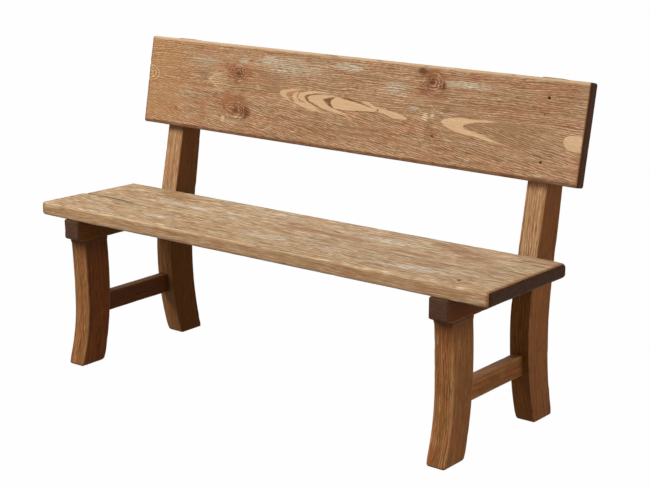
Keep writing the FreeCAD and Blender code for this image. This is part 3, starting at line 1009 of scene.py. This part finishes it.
def back_material():
    wood = Wood("back_wood", BACK_TONES, 5.0, BACK_KNOTS)
    wood.grain()
    wood.patches(GREY, BACK_GREY)
    wood.patches(RUST, BACK_RUST)
    wood.patches(RED_RUST, BACK_RED_RUST, ragged=1.1)
    wood.patches(DARK_RUST, BACK_DARK_RUST, ragged=1.1)
    wood.patches(rgb(208, 178, 138), BACK_CREAM, ragged=1.6)
    wood.paint(rgb(176, 128, 82), wood.smooth(wood.along + wood.ragged * 60, 240, 60) * 0.6)
    wood.knots(BACK_KNOTS, rgb(206, 162, 124), rgb(104, 66, 40))
    edge_knot(wood)
    back_flames(wood)
    light_lines(wood)
    lower_half = wood.smooth(wood.across, 120, 150)
    wood.brushed(pale=1.0, dark=0.85, pitch=5.6, length=13, tilted=(0.16, lower_half))
    for spot, tone in BACK_MARKS:
        wood.patches(tone, [spot], ragged=0.8)
    crest = wood.across + wood.ragged * 6
    # A pale strip along the crest, partly wear and partly painted highlight, and a dark strip along the
    # lower edge as painted shade.
    wood.paint(rgb(214, 180, 140), wood.smooth(crest, 10, 5) * 0.75)
    wood.paint(rgb(104, 56, 30), wood.smooth(crest, 250, 255) * 0.85)
    wood.worn_edges(0.2)
    wood.ends(BACK_ENDS, rim=(9.0, 5.0))
    return wood.finish()


# Seat. Places are in millimetres from its left end and back from its front edge.

SEAT_GREY = [
    (300, 222, 80, 19, 0.65), (424, 222, 55, 19, 0.6), (545, 228, 55, 15, 0.6),
    (382, 78, 66, 20, 0.75), (200, 48, 34, 16, 0.45), (740, 88, 84, 18, 0.6),
    (790, 96, 46, 20, 0.5), (1050, 250, 110, 20, 0.6), (960, 92, 66, 20, 0.45),
    (1250, 76, 88, 25, 0.75), (1150, 60, 66, 14, 0.4), (1330, 110, 76, 15, 0.4),
    (840, 170, 66, 14, 0.35), (650, 310, 46, 16, 0.4),
]
SEAT_RUST = [
    (215, 320, 70, 28, 0.6), (270, 290, 70, 30, 0.75), (330, 275, 50, 20, 0.5),
    (735, 248, 40, 16, 0.75), (800, 218, 100, 17, 0.75), (930, 215, 100, 17, 0.7),
    (1200, 310, 60, 26, 0.8), (1260, 280, 70, 30, 0.85), (1320, 240, 60, 30, 0.8),
    (1260, 118, 70, 14, 0.7), (1030, 295, 50, 18, 0.5), (1150, 190, 90, 16, 0.55),
    (1155, 45, 50, 14, 0.6), (500, 80, 24, 12, 0.6), (600, 60, 60, 14, 0.4),
    (160, 210, 60, 16, 0.4),
]
SEAT_MARKS = [(150, 72, 6, 4, 0.5), (403, 45, 6, 4, 0.45), (880, 55, 5, 4, 0.35)]
SEAT_PIT = (1392, 52, 6.5, 6.5, 1.0)
SEAT_PIT_HOLE = Hole(1392 * MM, 52 * MM, 3.8 * MM, 5 * MM, 1)
SEAT_RUST_TONE = rgb(158, 110, 72)


def seat_material(name, seed, inset, offset):
    """A seat plank's wood. inset and offset give its own start, from the seat's corner."""
    wood = Wood(name, SEAT_TONES, seed)
    wood.along = wood.along + inset
    wood.across = wood.across + offset
    wood.grain()
    streak = wood.noise(wood.fibre, (60, 9, 9), detail=3, seed=seed + 9)
    wood.paint(wood.tones.pale, wood.smooth(streak, 0.54, 0.70) * 0.45)
    wood.paint(SEAT_RUST_TONE, wood.smooth(streak, 0.47, 0.32) * 0.65)
    split = wood.noise(wood.fibre, (420, 26, 26), detail=1, seed=seed + 10)
    broken = wood.noise(wood.fibre, (90, 40, 40), detail=1, seed=seed + 11)
    wood.paint(wood.tones.dark, wood.near(split, 0.5, 0.02) * wood.smooth(broken, 0.42, 0.55) * 0.6)
    wood.patches(CHALK, SEAT_GREY)
    wood.patches(SEAT_RUST_TONE, SEAT_RUST, ragged=1.6)
    wood.rise = 2.2
    wood.brushed(pale=0.95, dark=0.95, pitch=11, length=26)
    wood.patches(wood.tones.dark, SEAT_MARKS)
    wood.patches(rgb(44, 26, 16), [SEAT_PIT], ragged=0.5)
    # Painted shade: the front face is painted darker than the top.
    front_face_shade = wood.smooth(wood.across, 3.0, 0.5)
    wood.paint(rgb(172, 126, 86), front_face_shade * 0.55)
    wood.worn_edges(0.2)
    # Darker along the seam towards both ends, most at the left end.
    wood.joints(SEAM_DARK, 6.5, wood.smooth(abs(wood.along - 475), 190, 320) * 0.5)
    wood.joints(SEAM_DARK, 8.0, wood.smooth(wood.along, 230, 150) * 0.8)
    wood.ends(BOARD_ENDS, rim=(17.0, 7.0))
    return wood.finish()


def plain_material(kind, side, tones, seed, ends, lines, below=None, joint_shade_reach=26.0, rubbed=0.3):
    """The wood of a leg, post, rail or stretcher, with painted shade and light on its flanks. below
    gives the height of the seat's underside, and the painted shade and light on a post's edges and
    flanks under it."""
    wood = Wood(kind + "_wood_" + side, tones, seed)
    flank = wood.attribute("flank")
    wood.grain()
    wood.smoothed = flank * 0.6
    wood.brushed(pale=lines, dark=lines, pitch=6.0, length=26)
    # Painted shade and light: each side's tone multiplied onto the flanks.
    wood.paint(FLANK_SHADING[kind + " " + side], flank, "MULTIPLY")
    if below is not None:
        height, low_face_shade, low_flank_shading = below
        # Under the seat: painted shade on a post's front and rear, and painted shade or light on its
        # flanks as the side's tone gives.
        low = wood.smooth(wood.along + wood.ragged * 40, height, height - 60)
        wood.paint(low_face_shade, low * (1 - flank), "MULTIPLY")
        wood.paint(low_flank_shading, low * flank, "MULTIPLY")
    wood.worn_edges(rubbed)
    # Painted shade where the piece meets its neighbours: down from the legs' tops under the seat, at the
    # rails' rear ends and at both ends of the bars.
    wood.joints(tones.dark, joint_shade_reach, 0.68)
    wood.ends(ends)
    return wood.finish()


def steel_material():
    recipe = Recipe("screw_steel")
    place = recipe.object_place()
    rust = recipe.noise(place, (0.0018, 0.0018, 0.0018), detail=3, seed=2)
    fine = recipe.noise(place, (0.0004, 0.0004, 0.0004), detail=2, seed=5)
    colour = recipe.mix(rgb(92, 82, 74), rgb(74, 46, 30), recipe.smooth(rust, 0.45, 0.65))
    recipe.cover(colour, 0.38 + rust * 0.35)
    recipe.shader.inputs["Metallic"].default_value = 0.85
    recipe.bump(fine, 0.0002, 0.5)
    return recipe.owner


def dowel_material():
    recipe = Recipe("dowel_wood")
    place = recipe.object_place()
    streak = recipe.noise(place, (0.0012, 0.02, 0.0012), detail=3, seed=4)
    broad = recipe.noise(place, (0.01, 0.05, 0.01), detail=2, seed=7)
    colour = recipe.mix(rgb(176, 132, 86), rgb(214, 176, 128), recipe.smooth(streak, 0.3, 0.7))
    colour = recipe.mix(colour, rgb(150, 104, 66), recipe.smooth(broad, 0.55, 0.35) * 0.5)
    recipe.cover(colour, 0.55 + streak * 0.2)
    recipe.bump(streak, 0.0004, 0.6)
    return recipe.owner


def build_bench():
    front_low, front_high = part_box("seat_board_front")
    inset = (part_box("seat_board_rear")[0].x - front_low.x) / MM
    offset = (front_high.y - front_low.y) / MM
    seat_board(
        "seat_board_front", seat_material("seat_front_wood", 11.0, 0.0, 0.0), 101,
        holes=[SEAT_PIT_HOLE], cracks=[Crack(1396, 1420, 60, 0.3, 1.2)],
    )
    seat_board(
        "seat_board_rear", seat_material("seat_rear_wood", 23.0, inset, offset), 202,
        cracks=[Crack(1300, 1520, 60, 0.0, 1.3)],
    )
    back_board(back_material(), 303)
    seat_underside = front_low.z / MM
    for count, side in enumerate(("left", "right")):
        seed = 400 + 100 * count
        lines = (1.0, 0.75)[count]
        wood = plain_material("leg", side, LEG_TONES, 41.0 + count, FOOT_ENDS, lines, joint_shade_reach=75.0)
        leg("front_leg_" + side, wood, seed)
        below = (seat_underside, *POST_UNDER_SEAT_SHADING[side])
        wood = plain_material("post", side, POST_TONES, 57.0 + count, POST_ENDS, 0.8, below, rubbed=0.0)
        leg("rear_post_" + side, wood, seed + 20)
        wood = plain_material("rail", side, FRAME_TONES, 71.0 + count, BLOCK_ENDS, 0.3)
        rail(side, wood, seed + 40)
        # Painted light: the right bar takes the paler leg tones, while the left keeps the darker frame
        # tones.
        bar_shading_tones = (FRAME_TONES, LEG_TONES)[count]
        wood = plain_material("bar", side, bar_shading_tones, 83.0 + count, FOOT_ENDS, 0.5)
        stretcher(side, wood, seed + 60)
    steel = steel_material()
    dress("back_board_screws", steel)
    dress("seat_screws", steel)
    dress("seat_dowels", dowel_material())


# Studio


def make_camera():
    data = bpy.data.cameras.new("camera")
    data.sensor_width = SENSOR_WIDTH
    data.lens = CAMERA_LENS
    data.clip_end = 50
    camera = add_object("camera", data)
    camera.location = CAMERA_PLACE
    camera.rotation_euler = (math.radians(90 - CAMERA_ELEVATION), 0, math.radians(CAMERA_AZIMUTH))
    bpy.context.scene.camera = camera


def make_lamp(name, place, target, size, power):
    data = bpy.data.lights.new(name, "AREA")
    data.shape = "RECTANGLE"
    data.size, data.size_y = size
    data.energy = power
    lamp = add_object(name, data)
    lamp.location = place
    lamp.rotation_euler = (Vector(target) - Vector(place)).to_track_quat("-Z", "Y").to_euler()


def make_world(strength):
    recipe = Recipe("studio", bpy.data.worlds)
    bpy.context.scene.world = recipe.owner
    background = recipe.nodes["Background"]
    background.inputs["Color"].default_value = (1, 1, 1, 1)
    level = recipe.node("MapRange", recipe.seen_directly(), 0.0, 1.0, strength, 1.0)
    recipe.put(background.inputs["Strength"], level)


def make_floor(whiteness, shade):
    """A plain pale floor that keeps the bench's soft shadow."""
    recipe = Recipe("floor")
    recipe.cover((shade, shade, shade, 1), 0.9)
    recipe.shader.inputs["Specular IOR Level"].default_value = 0.1
    plain = Value(recipe, recipe.shader.outputs[0])
    glow = recipe.node("Emission")
    mixed = recipe.node("MixShader", recipe.seen_directly() * whiteness, plain, glow)
    recipe.put(recipe.nodes["Material Output"].inputs[0], mixed)
    mesh = bpy.data.meshes.new("floor")
    reach = 12.0
    corners = [(-reach, -reach, 0), (reach, -reach, 0), (reach, reach, 0), (-reach, reach, 0)]
    mesh.from_pydata(corners, [], [(0, 1, 2, 3)])
    mesh.materials.append(recipe.owner)
    floor = add_object("floor", mesh)


bpy.context.scene.view_settings.view_transform = "Standard"
make_camera()
make_world(strength=0.11)
make_floor(whiteness=0.99, shade=0.22)
make_lamp("key", (-1.9, -3.1, 3.8), (0, 0, 0.45), (2.4, 2.0), 235)
make_lamp("side_fill", (1.75, -0.9, 0.8), (0.6, -0.2, 0.3), (0.7, 0.9), 4.5)
make_lamp("right_fill", (2.3, -0.35, 0.9), (0.6, 0, 0.3), (0.8, 0.8), 6)
make_lamp("rear_fill", (-1.5, 3.4, 2.6), (0, 0, 0.5), (2.4, 2.0), 45)
build_bench()
